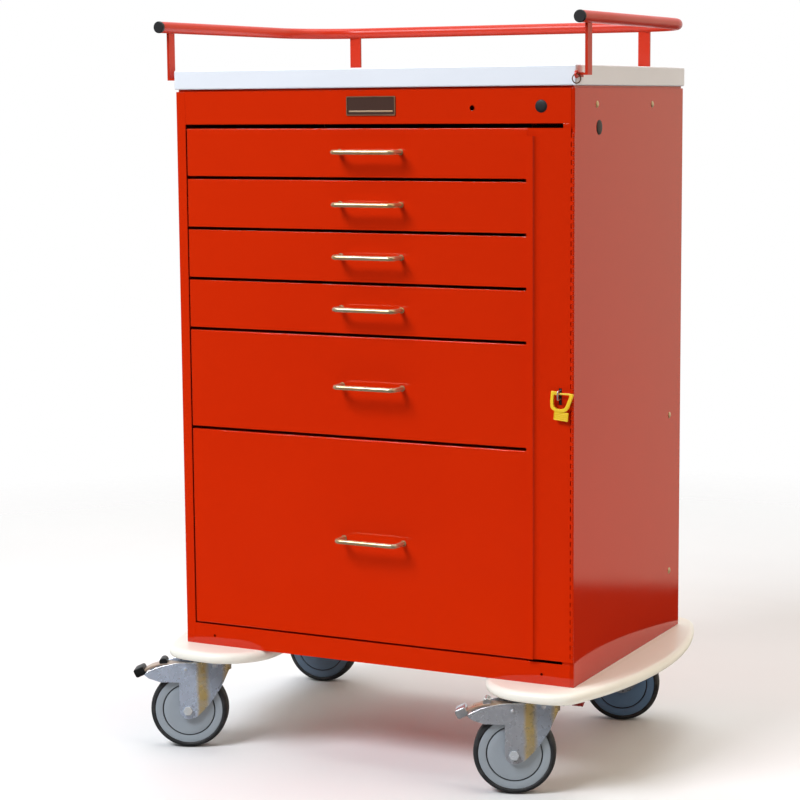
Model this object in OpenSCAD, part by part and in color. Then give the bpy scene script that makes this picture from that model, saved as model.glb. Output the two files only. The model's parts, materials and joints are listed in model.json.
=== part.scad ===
// Crash cart: steel drawer cabinet on four swivel casters, with a hinged lock bar,
// a breakaway seal, corner bumpers and a tube guard rail round the worktop.
// Millimetres. The front faces -Y, X runs to the right, the floor is Z = 0.

/* [Cabinet] */
// Width of the steel cabinet
cab_w = 650; // [560:5:760]
// Depth of the steel cabinet
cab_d = 435; // [400:5:520]
// Sheet thickness of the panels
sheet = 1.5; // [1.2:0.1:3]
// Height of the header above the drawers
header_h = 52; // [44:1:80]
// Height of the sill below the drawers
sill_h = 32; // [24:1:60]
// Width of the left front stile
stile_w = 15.5; // [12:0.5:30]
// Width of the channel behind the lock bar
channel_w = 70; // [56:1:90]

/* [Drawers] */
// Height unit of the drawer fronts
unit = 76.2; // [70:0.1:90]
// Gap between neighbouring drawer fronts
front_gap = 4.5; // [3:0.5:6]
// Sheet thickness of the drawers
drawer_t = 1; // [0.8:0.1:2]
// Depth of the folded drawer front
front_t = 18; // [12:1:24]
// Distance a drawer slides out
drawer_travel = 300; // [200:10:330]
// Centre distance of the wire pull feet
pull_c = 99; // [80:1:140]
// Reach of the wire pull in front of the drawer
pull_reach = 32; // [25:1:40]
// Wire diameter of the pull
pull_wire = 7; // [5:0.5:9]

/* [Worktop and rail] */
// Thickness of the worktop
top_t = 28.5; // [20:0.5:40]
// Shadow gap under the worktop
reveal = 3.2; // [1:0.2:4]
// Overhang of the worktop
top_over = 2; // [1:0.5:10]
// Height of the rail centre above the worktop
rail_h = 64.5; // [45:0.5:110]
// Distance of the rail centre outside the cabinet
rail_out = 15; // [13:1:25]
// Outer diameter of the rail tube
rail_od = 17; // [16:1:25]
// Centre radius of the rail bends
rail_bend = 104; // [40:1:120]

/* [Casters and bumpers] */
// Wheel diameter
wheel_d = 120; // [110:1:125]
// Width of the tyre
wheel_w = 30; // [26:1:32]
// Height of the caster from floor to bumper
caster_h = 144; // [143:1:160]
// Distance of the wheel axle behind the swivel axis
trail = 42; // [40:1:43]
// Sideways distance of the swivel axes from the middle
swivel_x = 276.5; // [240:0.5:300]
// Distance of the swivel axes from the middle, front to back
swivel_y = 212.4; // [180:0.1:220]
// Turn of the front left caster at rest
turn_fl = 24; // [-24:1:24]
// Turn of the front right caster at rest
turn_fr = 22; // [-24:1:24]
// Turn of the rear left caster at rest
turn_rl = 10; // [-24:1:24]
// Turn of the rear right caster at rest
turn_rr = 17; // [-24:1:24]
// Thickness of the bumper plates
bumper_t = 17; // [16:1:30]
// Reach of the bumper beyond the side panel
bumper_out = 63; // [50:1:90]
// Reach of the bumper beyond the front
bumper_fb = 52; // [48:1:56]

/* [Hidden] */
$fn = 48;
tip_len = 17;
tip_h = 14;
tip_tilt = 25;
tip_x = -118.4;
tip_end = -tip_x + tip_len / 2 * cos(tip_tilt) + tip_h / 2 * sin(tip_tilt);
tip_reach = tip_end * cos(turn_fl) + 13 * sin(turn_fl);
tip_side = tip_end * sin(turn_fl) + 13 * cos(turn_fl);
half_w = cab_w / 2;
half_d = cab_d / 2;
bumper_back = swivel_y + tip_side - half_d;
cx = (swivel_x + tip_reach - half_w - bumper_out) / 2;
z_bot = caster_h + bumper_t;
z_open = z_bot + sill_h;
z_gap0 = z_open + 10 * unit + 3;
z_top = z_gap0 + 3.2 + header_h;
z_wall = z_top - reveal;
z_work = z_top + top_t;
z_rail = z_work + rail_h;
yf = -half_d;
yb = half_d;
xl = cx - half_w;
xr = cx + half_w;
x_div = xr - channel_w - 3;
x_open = xl + stile_w + 2.5;
front_w = x_div + 1.5 - x_open;
box_l = x_open + 16;
box_r = x_div - 13;
box_d = cab_d - 45;
slide_l = box_l - 13;
slide_len = cab_d - 55;
starts = [0, 1, 2, 3, 4, 6];
units = [1, 1, 1, 1, 2, 4];
rail_x = half_w + rail_out;
rail_y = half_d + rail_out;
post_y = yf + 11.5;
post_x = 256;
bar_z0 = z_open + 5;
bar_z1 = z_gap0 - 3.3;
bar_w = channel_w + 0.5;
pin_x = xr - 1.2;
pin_y = yf - 3.2;
knuckle_pitch = 12.5;
knuckle_n = floor((bar_z1 - bar_z0) / knuckle_pitch);
seal_x = xr - 20.4;
seal_y = yf - 9;
seal_z = z_open + 391.8;
wheel_r = wheel_d / 2;
axle_x = -trail;
crown_z = wheel_d + 2.5;
cap_z = wheel_d + 21;
fork_top = cap_z - 4.6;
cheek_out = wheel_w / 2 + 5.8;
cheek_t = 2.6;
pivot_x = -45;
pivot_z = wheel_d + 5.3;
pedal_y = yf + 252;
pedal_x = xl + 580;
pedal_z = caster_h - 15;

red = [0.82, 0.16, 0.04];
white = [0.92, 0.92, 0.92];
cream = [0.90, 0.88, 0.82];
steel = [0.62, 0.64, 0.68];
chrome = [0.85, 0.85, 0.87];
black = [0.06, 0.06, 0.06];
grey = [0.45, 0.48, 0.53];
yellow = [0.95, 0.75, 0.05];

// ---- helpers ----

// Box given by its low and high corners
module span(a, b) {
  translate(a)
    cube([b[0] - a[0], b[1] - a[1], b[2] - a[2]]);
}

// Cylinder along Y from y0 to y1
module rod_y(x, z, r, y0, y1) {
  translate([x, y1, z])
    rotate([90, 0, 0])
      cylinder(r = r, h = y1 - y0);
}

// Cylinder along X from x0 to x1
module rod_x(y, z, r, x0, x1) {
  translate([x0, y, z])
    rotate([0, 90, 0])
      cylinder(r = r, h = x1 - x0);
}

// Upright polygon in the XZ plane, y0 to y1 thick
module slab_xz(pts, y0, y1) {
  translate([0, y1, 0])
    rotate([90, 0, 0])
      linear_extrude(height = y1 - y0)
        polygon(pts);
}

// ---- cabinet ----

// Side sheet with folded front and back flanges; side = -1 left, 1 right
module side_panel(side, flange) {
  x_out = cx + side * half_w;
  x_in = x_out - side * sheet;
  x_fl = x_out - side * flange;
  x_lip = x_out - side * 20;
  color(red) {
    span([min(x_out, x_in), yf, z_bot], [max(x_out, x_in), yb, z_wall]);
    span([min(x_out, x_fl), yf, z_bot], [max(x_out, x_fl), yf + sheet, z_wall]);
    span([min(x_out, x_fl), yb - sheet, z_bot], [max(x_out, x_fl), yb, z_wall]);
    span(
      [min(x_out, x_lip), yf + sheet, z_wall - sheet],
      [max(x_out, x_lip), yb - sheet, z_wall]
    );
  }
}

module left_side_panel() {
  side_panel(-1, stile_w);
}

module right_side_panel() {
  difference() {
    side_panel(1, 6);
    rod_x(yf + 89, z_gap0 - 3.5, 8, xr - 5, xr + 1);
  }
}

module back_panel() {
  color(red) {
    span([xl + stile_w + 0.4, yb - sheet, z_bot], [xr - 6.4, yb, z_wall]);
    span([xl + 3, yf + 3, z_wall], [xr - 3, yb - 0.5, z_top]);
  }
}

module floor_panel() {
  color(red)
    span([xl + sheet, yf + sheet, z_bot], [xr - sheet, yb - sheet, z_bot + sheet]);
}

module front_header() {
  color(red)
    difference() {
      union() {
        span([xl + stile_w, yf, z_top - header_h], [xr - 6, yf + sheet, z_wall]);
        span([xl + stile_w, yf, z_top - header_h], [x_div, yf + 16, z_top - header_h + sheet]);
      }
      rod_y(xl + 493, z_gap0 + 25, 3.75, yf - 1, yf + 3);
      rod_y(xl + 599, z_gap0 + 27, 7, yf - 1, yf + 3);
    }
}

module front_sill() {
  color(red)
    difference() {
      union() {
        span([xl + stile_w, yf, z_bot], [xr - 6, yf + sheet, z_open]);
        span([xl + stile_w, yf, z_open - sheet], [x_div, yf + 16, z_open]);
      }
      rod_y(xl + 50, z_bot + 14.5, 2, yf - 1, yf + 3);
      rod_y(xr - 50, z_bot + 14.5, 2, yf - 1, yf + 3);
    }
}

// Channel behind the lock bar: front web and the divider that carries the slides
module right_stile() {
  color(red) {
    span([x_div + 5, yf, bar_z0 + 5], [xr - 6, yf + sheet, bar_z1 - 5]);
    span([xr - 18, yf, z_open], [xr - 6, yf + sheet, z_top - header_h]);
    span([x_div, yf + 17, z_bot + sheet], [x_div + sheet, yb - sheet, z_wall]);
    span([x_div + 5, yf + sheet, bar_z0 + 5], [x_div + 7, yf + 20, bar_z1 - 5]);
    span([x_div, yf + 17, bar_z0 + 5], [x_div + 7, yf + 19, bar_z1 - 5]);
  }
}

// Top board on a thin inset spacer
module worktop() {
  color(white) {
    span([xl - top_over, yf - top_over, z_top], [xr + top_over, yb + top_over, z_work]);
  }
}

// ---- guard rail ----

// Straight, bent and back runs of the rail at radius r
module rail_run(r) {
  for (s = [-1, 1]) {
    translate([cx + s * rail_x, rail_y - rail_bend, z_rail])
      rotate([90, 0, 0])
        cylinder(r = r, h = 2 * half_d + rail_out - rail_bend + 17);
    translate([cx + s * (rail_x - rail_bend), rail_y - rail_bend, z_rail])
      rotate([0, 0, s > 0 ? 0 : 90])
        rotate_extrude(angle = 90)
          translate([rail_bend, 0])
            circle(r = r);
  }
  rod_x(rail_y, z_rail, r, cx - rail_x + rail_bend, cx + rail_x - rail_bend);
}

// Flat bar post with a turned-in foot; side = -1 left, 1 right
module side_post(side) {
  x0 = cx + side * (rail_x - 2);
  x1 = cx + side * (rail_x + 2);
  xf = cx + side * (half_w + top_over);
  xt = xf + side * 2.4;
  span([min(x0, x1), post_y - 8, z_top + 14], [max(x0, x1), post_y + 8, z_rail - 5]);
  span([min(xf, x0), post_y - 8, z_top + 14], [max(xf, x0), post_y + 8, z_top + 17]);
  span([min(xf, xt), post_y - 8, z_top + 11], [max(xf, xt), post_y + 8, z_top + 18]);
}

// Round lug in front of the right foot, for the ring
module ring_lug() {
  xf = xr + top_over;
  span([xf, yf - 3.2, z_top + 11.5], [xf + 2.4, post_y, z_top + 18]);
  rod_x(yf - 3.2, z_top + 15, 5.4, xf, xf + 2.4);
}

module back_post(side) {
  x = cx + side * post_x;
  yt = yb + top_over;
  span([x - 9.5, rail_y - 4, z_top + 14], [x + 9.5, rail_y, z_rail - 5]);
  span([x - 9.5, yt, z_top + 14], [x + 9.5, rail_y, z_top + 17.5]);
  span([x - 9.5, yt, z_top + 8], [x + 9.5, yt + 3, z_top + 21]);
}

module guard_rail() {
  color(red)
    difference() {
      union() {
        rail_run(rail_od / 2);
        for (s = [-1, 1]) {
          side_post(s);
          back_post(s);
        }
        ring_lug();
      }
      rail_run(rail_od / 2 - 1.5);
      rod_x(yf - 3.2, z_top + 15, 3, xr - 1, xr + 20);
    }
}

module rail_end_caps() {
  y_end = yf - 17;
  color(black)
    for (s = [-1, 1]) {
      rod_y(cx + s * rail_x, z_rail, rail_od / 2 + 0.3, y_end - 5, y_end - 0.1);
      rod_y(cx + s * rail_x, z_rail, rail_od / 2 - 1.9, y_end - 1, y_end + 14);
    }
}

// Wire ring hanging from the right front foot
module tag_ring() {
  color(chrome)
    translate([xr + top_over + 1.2, yf - 3.2, z_top + 9])
      rotate([90, 0, 45])
        rotate_extrude()
          translate([6.2, 0])
            circle(r = 0.8);
}

// ---- small fixed pieces ----

module nameplate() {
  color([0.20, 0.12, 0.08])
    difference() {
      span([cx - 33, yf - 1.6, z_gap0 + 15], [cx + 47, yf, z_gap0 + 43]);
      span([cx - 31, yf - 2, z_gap0 + 17], [cx + 45, yf - 1, z_gap0 + 41]);
    }
}

module hole_plugs() {
  color(black) {
    rod_y(xl + 599, z_gap0 + 27, 9, yf - 1.5, yf);
    rod_y(xl + 599, z_gap0 + 27, 6.8, yf - 1, yf + 5);
    rod_x(yf + 89, z_gap0 - 3.5, 10.5, xr, xr + 1.5);
    rod_x(yf + 89, z_gap0 - 3.5, 7.8, xr - 5, xr + 1);
  }
}

module side_screws() {
  spots = [[81, z_gap0 + 29], [301, z_gap0 + 28], [386, z_gap0 - 453], [390, z_gap0 - 701]];
  color(steel)
    for (p = spots) {
      rod_x(yf + p[0], p[1], 5, xr, xr + 1.6);
      rod_x(yf + p[0], p[1], 5, xl - 1.6, xl);
    }
}

// Fixed slide members: channel on two spacers on the left, on the divider at the right
module slide_rails() {
  color(steel)
    for (k = [0:5]) {
      z = z_gap0 - (starts[k] + units[k] / 2) * unit;
      for (y = [yf + 24, yb - 60])
        span([xl + sheet, y, z - 8], [slide_l, y + 24, z + 8]);
      slide_channel(slide_l, 1, z);
      slide_channel(x_div, -1, z);
    }
}

// C channel whose back stands at x and opens towards dir
module slide_channel(x, dir, z) {
  xb = x + dir * sheet;
  xe = x + dir * 11;
  span([min(x, xb), yf + 20, z - 17], [max(x, xb), yf + 20 + slide_len, z + 17]);
  for (s = [-1, 1])
    span(
      [min(x, xe), yf + 20, z + (s < 0 ? -17 : 17 - sheet)],
      [max(x, xe), yf + 20 + slide_len, z + (s < 0 ? sheet - 17 : 17)]
    );
}

// ---- bumpers ----

// Cubic curve through four control points at t
function bez(p, t) =
  pow(1 - t, 3) * p[0] + 3 * pow(1 - t, 2) * t * p[1]
  + 3 * (1 - t) * t * t * p[2] + t * t * t * p[3];

// Half of the right bumper outline, from the inner edge to the widest point, for an end reach
function half_outline(reach) = let (
  a = [half_w - 145, -half_d + 30],
  b = [half_w - 62, -half_d - reach],
  c = [half_w + 20, -half_d - 18],
  d = [half_w + bumper_out, 0]
) concat(
  [for (i = [0:10]) bez([a, [a[0], b[1] + 42], [b[0] - 48, b[1]], b], i / 10)],
  [for (i = [1:8]) bez([b, [b[0] + 56, b[1]], [c[0] - 10, c[1] - 26], c], i / 8)],
  [for (i = [1:10]) bez([c, [c[0] + 24, c[1] + 62], [d[0], -92], d], i / 10)]
);

module bumper_outline() {
  f = half_outline(bumper_fb);
  h = half_outline(bumper_back);
  n = len(h);
  polygon(concat(f, [for (i = [1:n - 1]) [h[n - 1 - i][0], -h[n - 1 - i][1]]]));
}

// Stack of five layers that rounds the edge; side = -1 left, 1 right
module bumper(side) {
  layers = [[0, 5.5], [2, 2], [5, 0], [bumper_t - 5, 2], [bumper_t - 2, 5.5], [bumper_t, 0]];
  color(cream)
    translate([cx, 0, caster_h])
      mirror([side > 0 ? 0 : 1, 0, 0])
        difference() {
          for (i = [0:4])
            translate([half_w - 40, 0, layers[i][0]])
              scale([1 - layers[i][1] / 108, 1 - layers[i][1] / 277, 1])
                translate([40 - half_w, 0, 0])
                  linear_extrude(height = layers[i + 1][0] - layers[i][0])
                    bumper_outline();
          for (s = [-1, 1])
            translate([swivel_x, s * swivel_y, -1])
              bolt_spots()
                cylinder(r = 4.2, h = bumper_t);
        }
}

module bumper_left() {
  bumper(-1);
}

module bumper_right() {
  bumper(1);
}

// Places its children at the four bolts of a caster plate
module bolt_spots() {
  for (x = [-37.5, 37.5])
    for (y = [-22.5, 22.5])
      translate([x, y, 0])
        children();
}

// ---- chassis plates ----

module caster_plate() {
  translate([-44, -29, caster_h - 4])
    cube([88, 58, 4]);
  translate([0, 0, crown_z + 7.1])
    cylinder(r = 15.5, h = caster_h - crown_z - 10);
  translate([0, 0, crown_z - 0.5])
    cylinder(r = 6, h = caster_h - crown_z);
  translate([0, 0, crown_z - 5.5])
    cylinder(r = 9.5, h = 5);
  bolt_spots()
    translate([0, 0, caster_h - 1])
      cylinder(r = 3.9, h = bumper_t - 1);
}

// Four caster plates with kingpins and bolts, and the bracket of the tracking pedal
module chassis_plates() {
  color(steel) {
    for (x = [-1, 1])
      for (y = [-1, 1])
        translate([cx + x * swivel_x, y * swivel_y, 0])
          caster_plate();
    span([pedal_x - 22, pedal_y - 18, caster_h - 3], [pedal_x + 22, pedal_y + 18, caster_h]);
    for (s = [-1, 1])
      span(
        [pedal_x + s * 16 - 1.5, pedal_y - 10, pedal_z - 8],
        [pedal_x + s * 16 + 1.5, pedal_y + 10, caster_h - 2]
      );
    rod_x(pedal_y, pedal_z, 3, pedal_x - 19, pedal_x + 19);
  }
}

// ---- lock bar, hinge and seal ----

// Knuckle with its leaf tongue, drawn round the pin axis and rising along Z
module knuckle(tongue) {
  linear_extrude(height = knuckle_pitch / 2 - 0.4)
    difference() {
      union() {
        circle(r = 2.3);
        polygon(tongue);
      }
      circle(r = 1.06);
    }
}

// Fixed leaf along the right front corner with every second knuckle
module hinge_leaf() {
  color(red) {
    span([xr - 3.4, yf - 0.5, bar_z0], [xr, yf, bar_z1]);
    translate([pin_x, pin_y, 0])
      for (i = [0:knuckle_n - 1])
        translate([0, 0, bar_z0 + (i + 0.5) * knuckle_pitch + 0.2])
          knuckle([[-0.8, 1.5], [0.8, 1.5], [0.8, 3], [-0.8, 3]]);
  }
}

module hinge_pin() {
  color(steel)
    translate([pin_x, pin_y, bar_z0])
      cylinder(r = 1, h = knuckle_n * knuckle_pitch);
}

// Folded bar with a raised lip along the drawer edges and a slot round the staple
module lock_bar() {
  w = bar_w;
  color(red)
    difference() {
      union() {
        translate([pin_x, pin_y, bar_z0]) {
          linear_extrude(height = bar_z1 - bar_z0 - 11)
            polygon([
              [-w + 1.2, -4.5], [-w + 11.2, -4.5], [-w + 12.2, -2.6], [-w + 14, -1.2],
              [-w + 17, -0.2], [-w + 22, 0.4], [-4, 0.4], [-4, 2.3], [-w + 21, 2.3],
              [-w + 16.5, 1.7], [-w + 13, 0.5], [-w + 10.9, -1.3], [-w + 10, -2.6],
              [-w + 3.1, -2.6], [-w + 3.1, 2.3], [-w + 1.2, 2.3]
            ]);
          translate([-w + 1.2, 0.4, 0])
            cube([w - 5.2, 1.9, bar_z1 - bar_z0]);
        }
        translate([pin_x, pin_y, 0])
          for (i = [0:knuckle_n - 1])
            translate([0, 0, bar_z0 + i * knuckle_pitch + 0.2])
              knuckle([[0, 0.4], [0, 2.3], [-5, 2.3], [-5, 0.4]]);
      }
      span([seal_x - 2.5, yf - 4, seal_z - 17], [seal_x + 2.5, yf, seal_z + 7]);
    }
}

// Wire loop for the seal on a backing that fills the slot of the bar
module lock_staple() {
  color(chrome) {
    span([seal_x - 4.5, yf - 0.9, seal_z - 19], [seal_x + 4.5, yf - 0.45, seal_z + 9]);
    span([seal_x - 2.3, yf - 2, seal_z - 16.8], [seal_x + 2.3, yf - 0.6, seal_z + 6.8]);
    for (z = [seal_z - 9, seal_z + 3.6])
      rod_y(seal_x, z, 0.9, yf - 12.5, yf - 1.2);
    translate([seal_x, yf - 12.5, seal_z - 10.3])
      cylinder(r = 1.1, h = 15.2);
  }
}

// Plastic ring seal with a tag, hanging in the staple and tilted sideways
module breakaway_seal() {
  color(yellow) {
    translate([seal_x, seal_y, seal_z])
      rotate([0, 6, 0]) {
        slab_xz([
          [-11, 2.5], [-1.9, 2.5], [-1.9, -2], [-6.7, -2], [-6.5, -10], [-5, -18.8],
          [-1, -21.1], [4.5, -21.6], [9, -20.3], [13, -16.3], [17.2, -2], [17.2, 2.5],
          [22.4, 2.5], [21.9, -2], [17.5, -18.5], [11.5, -24.5], [5, -25.8], [-2, -25.3],
          [-8.5, -22], [-10.8, -12]
        ], -2, 2);
        span([-3.5, -1.3, -37.5], [18, 1.3, -23]);
      }
    rod_x(seal_y, seal_z - 0.2, 1.4, seal_x - 5, seal_x + 19);
  }
}

// ---- drawers ----

function drawer_top(k) =
  z_gap0 - starts[k] * unit - (k == 0 ? 3.2 : front_gap / 2);

function drawer_bottom(k) =
  z_gap0 - (starts[k] + units[k]) * unit + (k == 5 ? 0 : front_gap / 2);

function box_h(k) = units[k] * unit - 20;

function box_z(k) = z_gap0 - (starts[k] + units[k]) * unit + 8;

// Folded front, open at the back
module drawer_front(k) {
  z0 = drawer_bottom(k);
  z1 = drawer_top(k);
  color(red)
    difference() {
      span([x_open, yf - 0.8, z0], [x_open + front_w, yf + front_t - 2, z1]);
      span(
        [x_open + drawer_t, yf - 0.8 + drawer_t, z0 + drawer_t],
        [x_open + front_w - drawer_t, yf + front_t, z1 - drawer_t]
      );
    }
}

// Open tray with the moving slide members on its sides
module drawer_box(k) {
  z0 = box_z(k);
  z1 = z0 + box_h(k);
  zc = z_gap0 - (starts[k] + units[k] / 2) * unit;
  y0 = yf - 0.8 + drawer_t;
  y1 = y0 + box_d;
  color(steel) {
    difference() {
      span([box_l, y0, z0], [box_r, y1, z1]);
      span([box_l + drawer_t, y0 + drawer_t, z0 + drawer_t], [box_r - drawer_t, y1 - drawer_t, z1 + 1]);
    }
    slide_bar(box_l, -1, zc);
    slide_bar(box_r, 1, zc);
  }
}

// Hollow moving slide member standing out from the drawer side at x towards dir
module slide_bar(x, dir, z) {
  xe = x + dir * 10.2;
  xi = x + dir * 8.7;
  ya = yf + 20.5;
  yz = yf + 12 + slide_len;
  span([min(xi, xe), ya, z - 13.5], [max(xi, xe), yz, z + 13.5]);
  for (s = [-1, 1])
    span(
      [min(x, xe), ya, z + (s < 0 ? -13.5 : 12)],
      [max(x, xe), yz, z + (s < 0 ? -12 : 13.5)]
    );
}

// Bent wire pull
module drawer_pull(k) {
  z = (drawer_top(k) + drawer_bottom(k)) / 2 + 1.5;
  bend = 8;
  r = pull_wire / 2;
  y0 = yf - 0.8;
  color(chrome)
    translate([xl + 330, y0, z]) {
      for (s = [-1, 1]) {
        rod_y(s * pull_c / 2, 0, r, -pull_reach + r + bend, 0);
        rod_y(s * pull_c / 2, 0, r + 1, -1.5, 0);
        translate([s * (pull_c / 2 - bend), -pull_reach + r + bend, 0])
          rotate([0, 0, s > 0 ? -90 : 180])
            rotate_extrude(angle = 90)
              translate([bend, 0])
                circle(r = r);
      }
      rod_x(-pull_reach + r, 0, r, bend - pull_c / 2, pull_c / 2 - bend);
    }
}

module drawer_front_1() { drawer_front(0); }
module drawer_box_1() { drawer_box(0); }
module drawer_pull_1() { drawer_pull(0); }
module drawer_front_2() { drawer_front(1); }
module drawer_box_2() { drawer_box(1); }
module drawer_pull_2() { drawer_pull(1); }
module drawer_front_3() { drawer_front(2); }
module drawer_box_3() { drawer_box(2); }
module drawer_pull_3() { drawer_pull(2); }
module drawer_front_4() { drawer_front(3); }
module drawer_box_4() { drawer_box(3); }
module drawer_pull_4() { drawer_pull(3); }
module drawer_front_5() { drawer_front(4); }
module drawer_box_5() { drawer_box(4); }
module drawer_pull_5() { drawer_pull(4); }
module drawer_front_6() { drawer_front(5); }
module drawer_box_6() { drawer_box(5); }
module drawer_pull_6() { drawer_pull(5); }

// ---- casters ----

// Moves its children to the swivel axis of the caster at signs (sx, sy), turned in place
module at_caster(sx, sy) {
  turn = sy < 0 ? (sx < 0 ? turn_fl : turn_fr) : (sx < 0 ? turn_rl : turn_rr);
  translate([cx + sx * swivel_x, sy * swivel_y, 0])
    rotate([0, 0, turn])
      children();
}

// Half width of the fork skin at x, for half width h at the cheeks and front end at e
function skin_y(x, h, e) = h * sqrt(max(0, 1 - pow(max(0, (x + 26.5) / (e + 26.5)), 3)));

// Plan outline of the fork from x = back to its rounded front
module plan(back, h, e) {
  xs = [back, -26.5, -16, -7, 0, 6, 11, 15, e - 6.4, e - 4.2, e - 2.4, e - 1, e - 0.25];
  n = len(xs);
  polygon(concat(
    [for (i = [0:n - 1]) [xs[i], -skin_y(xs[i], h, e)]],
    [[e, 0]],
    [for (i = [0:n - 1]) [xs[n - 1 - i], skin_y(xs[n - 1 - i], h, e)]]
  ));
}

// Pressed fork: a skin wrapped round the front, its crown and, with a pedal, the pivot rivet
module fork(has_pedal) {
  z0 = wheel_r;
  color(steel) {
    difference() {
      union() {
        intersection() {
          difference() {
            linear_extrude(height = fork_top)
              plan(-112, cheek_out, 24.5);
            translate([0, 0, -1])
              linear_extrude(height = fork_top + 2)
                plan(-113, cheek_out - cheek_t, 21.9);
          }
          slab_xz([
            [axle_x - 13.5, z0], [axle_x - 12.5, z0 - 5.2], [axle_x - 9.5, z0 - 9.6],
            [axle_x - 5.2, z0 - 12.5], [axle_x, z0 - 13.5], [axle_x + 6, z0 - 12.3],
            [axle_x + 14.5, z0 - 9], [-16, z0 + 2.7], [-8.5, z0 + 11], [8.5, z0 + 35.5],
            [14, cap_z - 33], [26, cap_z - 7], [26, fork_top + 1],
            [-27, fork_top + 1], [-27, fork_top], [-52, fork_top - 0.8], [-70, cap_z - 8],
            [-91, cap_z - 13.8], [-107.5, cap_z - 22], [-109.5, cap_z - 24.5],
            [-103, cap_z - 30], [-85, cap_z - 36], [-55.5, cap_z - 36.2]
          ], -40, 40);
        }
        translate([0, 0, crown_z])
          linear_extrude(height = 6.5)
            plan(-30, cheek_out - 1, 23.5);
      }
      translate([0, 0, crown_z - 1])
        cylinder(r = 6.06, h = 30);
      rod_y(axle_x, wheel_r, 5, -30, 30);
    }
    if (has_pedal) {
      rod_y(pivot_x, pivot_z, 2.6, -cheek_out + 1, cheek_out - 1);
      rod_y(pivot_x, pivot_z, 3.4, cheek_out - 1, cheek_out + 1.2);
      rod_y(pivot_x, pivot_z, 3.4, -cheek_out - 1.2, -cheek_out + 1);
    }
  }
}

module axle() {
  color(steel) {
    rod_y(axle_x, wheel_r, 5, -cheek_out - 1, cheek_out + 1);
    for (s = [-1, 1])
      translate([axle_x, s * (cheek_out + 2.2), wheel_r])
        rotate([90, 0, 0])
          cylinder(r = 7.5, h = 4.4, center = true, $fn = 6);
  }
}

// Wheel body with a groove ring on each face
module wheel_core() {
  w = wheel_w / 2 - 1;
  color(grey)
    translate([axle_x, 0, wheel_r])
      rotate([90, 0, 0])
        difference() {
          union() {
            translate([0, 0, -w])
              cylinder(r = wheel_r - 7, h = 2 * w);
            translate([0, 0, -w - 1])
              cylinder(r = 11, h = 2 * w + 2);
          }
          translate([0, 0, -w - 2])
            cylinder(r = 5.06, h = 2 * w + 4);
          for (z = [-w - 1, w - 1.2])
            translate([0, 0, z])
              difference() {
                cylinder(r = 41.1, h = 2.2);
                translate([0, 0, -1])
                  cylinder(r = 39.5, h = 4);
              }
        }
}

module tyre() {
  w = wheel_w / 2;
  color(black)
    translate([axle_x, 0, wheel_r])
      rotate([90, 0, 0])
        rotate_extrude($fn = 64)
          translate([wheel_r, 0])
            polygon([
              [-7, -w + 1], [-5.8, -w], [-3, -w + 0.8], [-0.8, -w + 4], [0, -w + 8],
              [0, w - 8], [-0.8, w - 4], [-3, w - 0.8], [-5.8, w], [-7, w - 1]
            ]);
}

// Lever between the fork cheeks with a cross roller and a tip block
module brake_pedal() {
  difference() {
    union() {
      rod_y(pivot_x, pivot_z, 4.8, -12, 12);
      slab_xz([
        [pivot_x, pivot_z + 4.8], [-76, cap_z - 8.5], [-88, cap_z - 9.5],
        [-113, cap_z - 19.5], [-112, cap_z - 22.5], [-88, cap_z - 13],
        [-76, cap_z - 11.7], [pivot_x, pivot_z + 2]
      ], -12, 12);
      rod_y(-81.6, cap_z - 6.8, 5.9, -10, 10);
      translate([tip_x, 0, cap_z - 22.5])
        rotate([0, -tip_tilt, 0])
          cube([tip_len, 26, tip_h], center = true);
    }
    rod_y(pivot_x, pivot_z, 2.66, -14, 14);
  }
}

module fork_fl() { at_caster(-1, -1) fork(true); }
module fork_fr() { at_caster(1, -1) fork(true); }
module fork_rl() { at_caster(-1, 1) fork(false); }
module fork_rr() { at_caster(1, 1) fork(false); }
module axle_fl() { at_caster(-1, -1) axle(); }
module axle_fr() { at_caster(1, -1) axle(); }
module axle_rl() { at_caster(-1, 1) axle(); }
module axle_rr() { at_caster(1, 1) axle(); }
module wheel_core_fl() { at_caster(-1, -1) wheel_core(); }
module wheel_core_fr() { at_caster(1, -1) wheel_core(); }
module wheel_core_rl() { at_caster(-1, 1) wheel_core(); }
module wheel_core_rr() { at_caster(1, 1) wheel_core(); }
module tyre_fl() { at_caster(-1, -1) tyre(); }
module tyre_fr() { at_caster(1, -1) tyre(); }
module tyre_rl() { at_caster(-1, 1) tyre(); }
module tyre_rr() { at_caster(1, 1) tyre(); }

module brake_pedal_fl() {
  color(steel)
    at_caster(-1, -1)
      brake_pedal();
}

module brake_pedal_fr() {
  color(steel)
    at_caster(1, -1)
      brake_pedal();
}

// Red foot lever hanging under the right bumper, its pad towards the front
module tracking_pedal() {
  color([0.55, 0.08, 0.06])
    difference() {
      union() {
        rod_x(pedal_y, pedal_z, 6, pedal_x - 13.5, pedal_x + 13.5);
        translate([pedal_x, pedal_y, pedal_z])
          rotate([33, 0, 0]) {
            translate([-7, -74, -2])
              cube([14, 74, 4]);
            translate([-9, -84, -3.5])
              cube([18, 28, 7]);
          }
      }
      rod_x(pedal_y, pedal_z, 3.06, pedal_x - 15, pedal_x + 15);
    }
}

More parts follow.
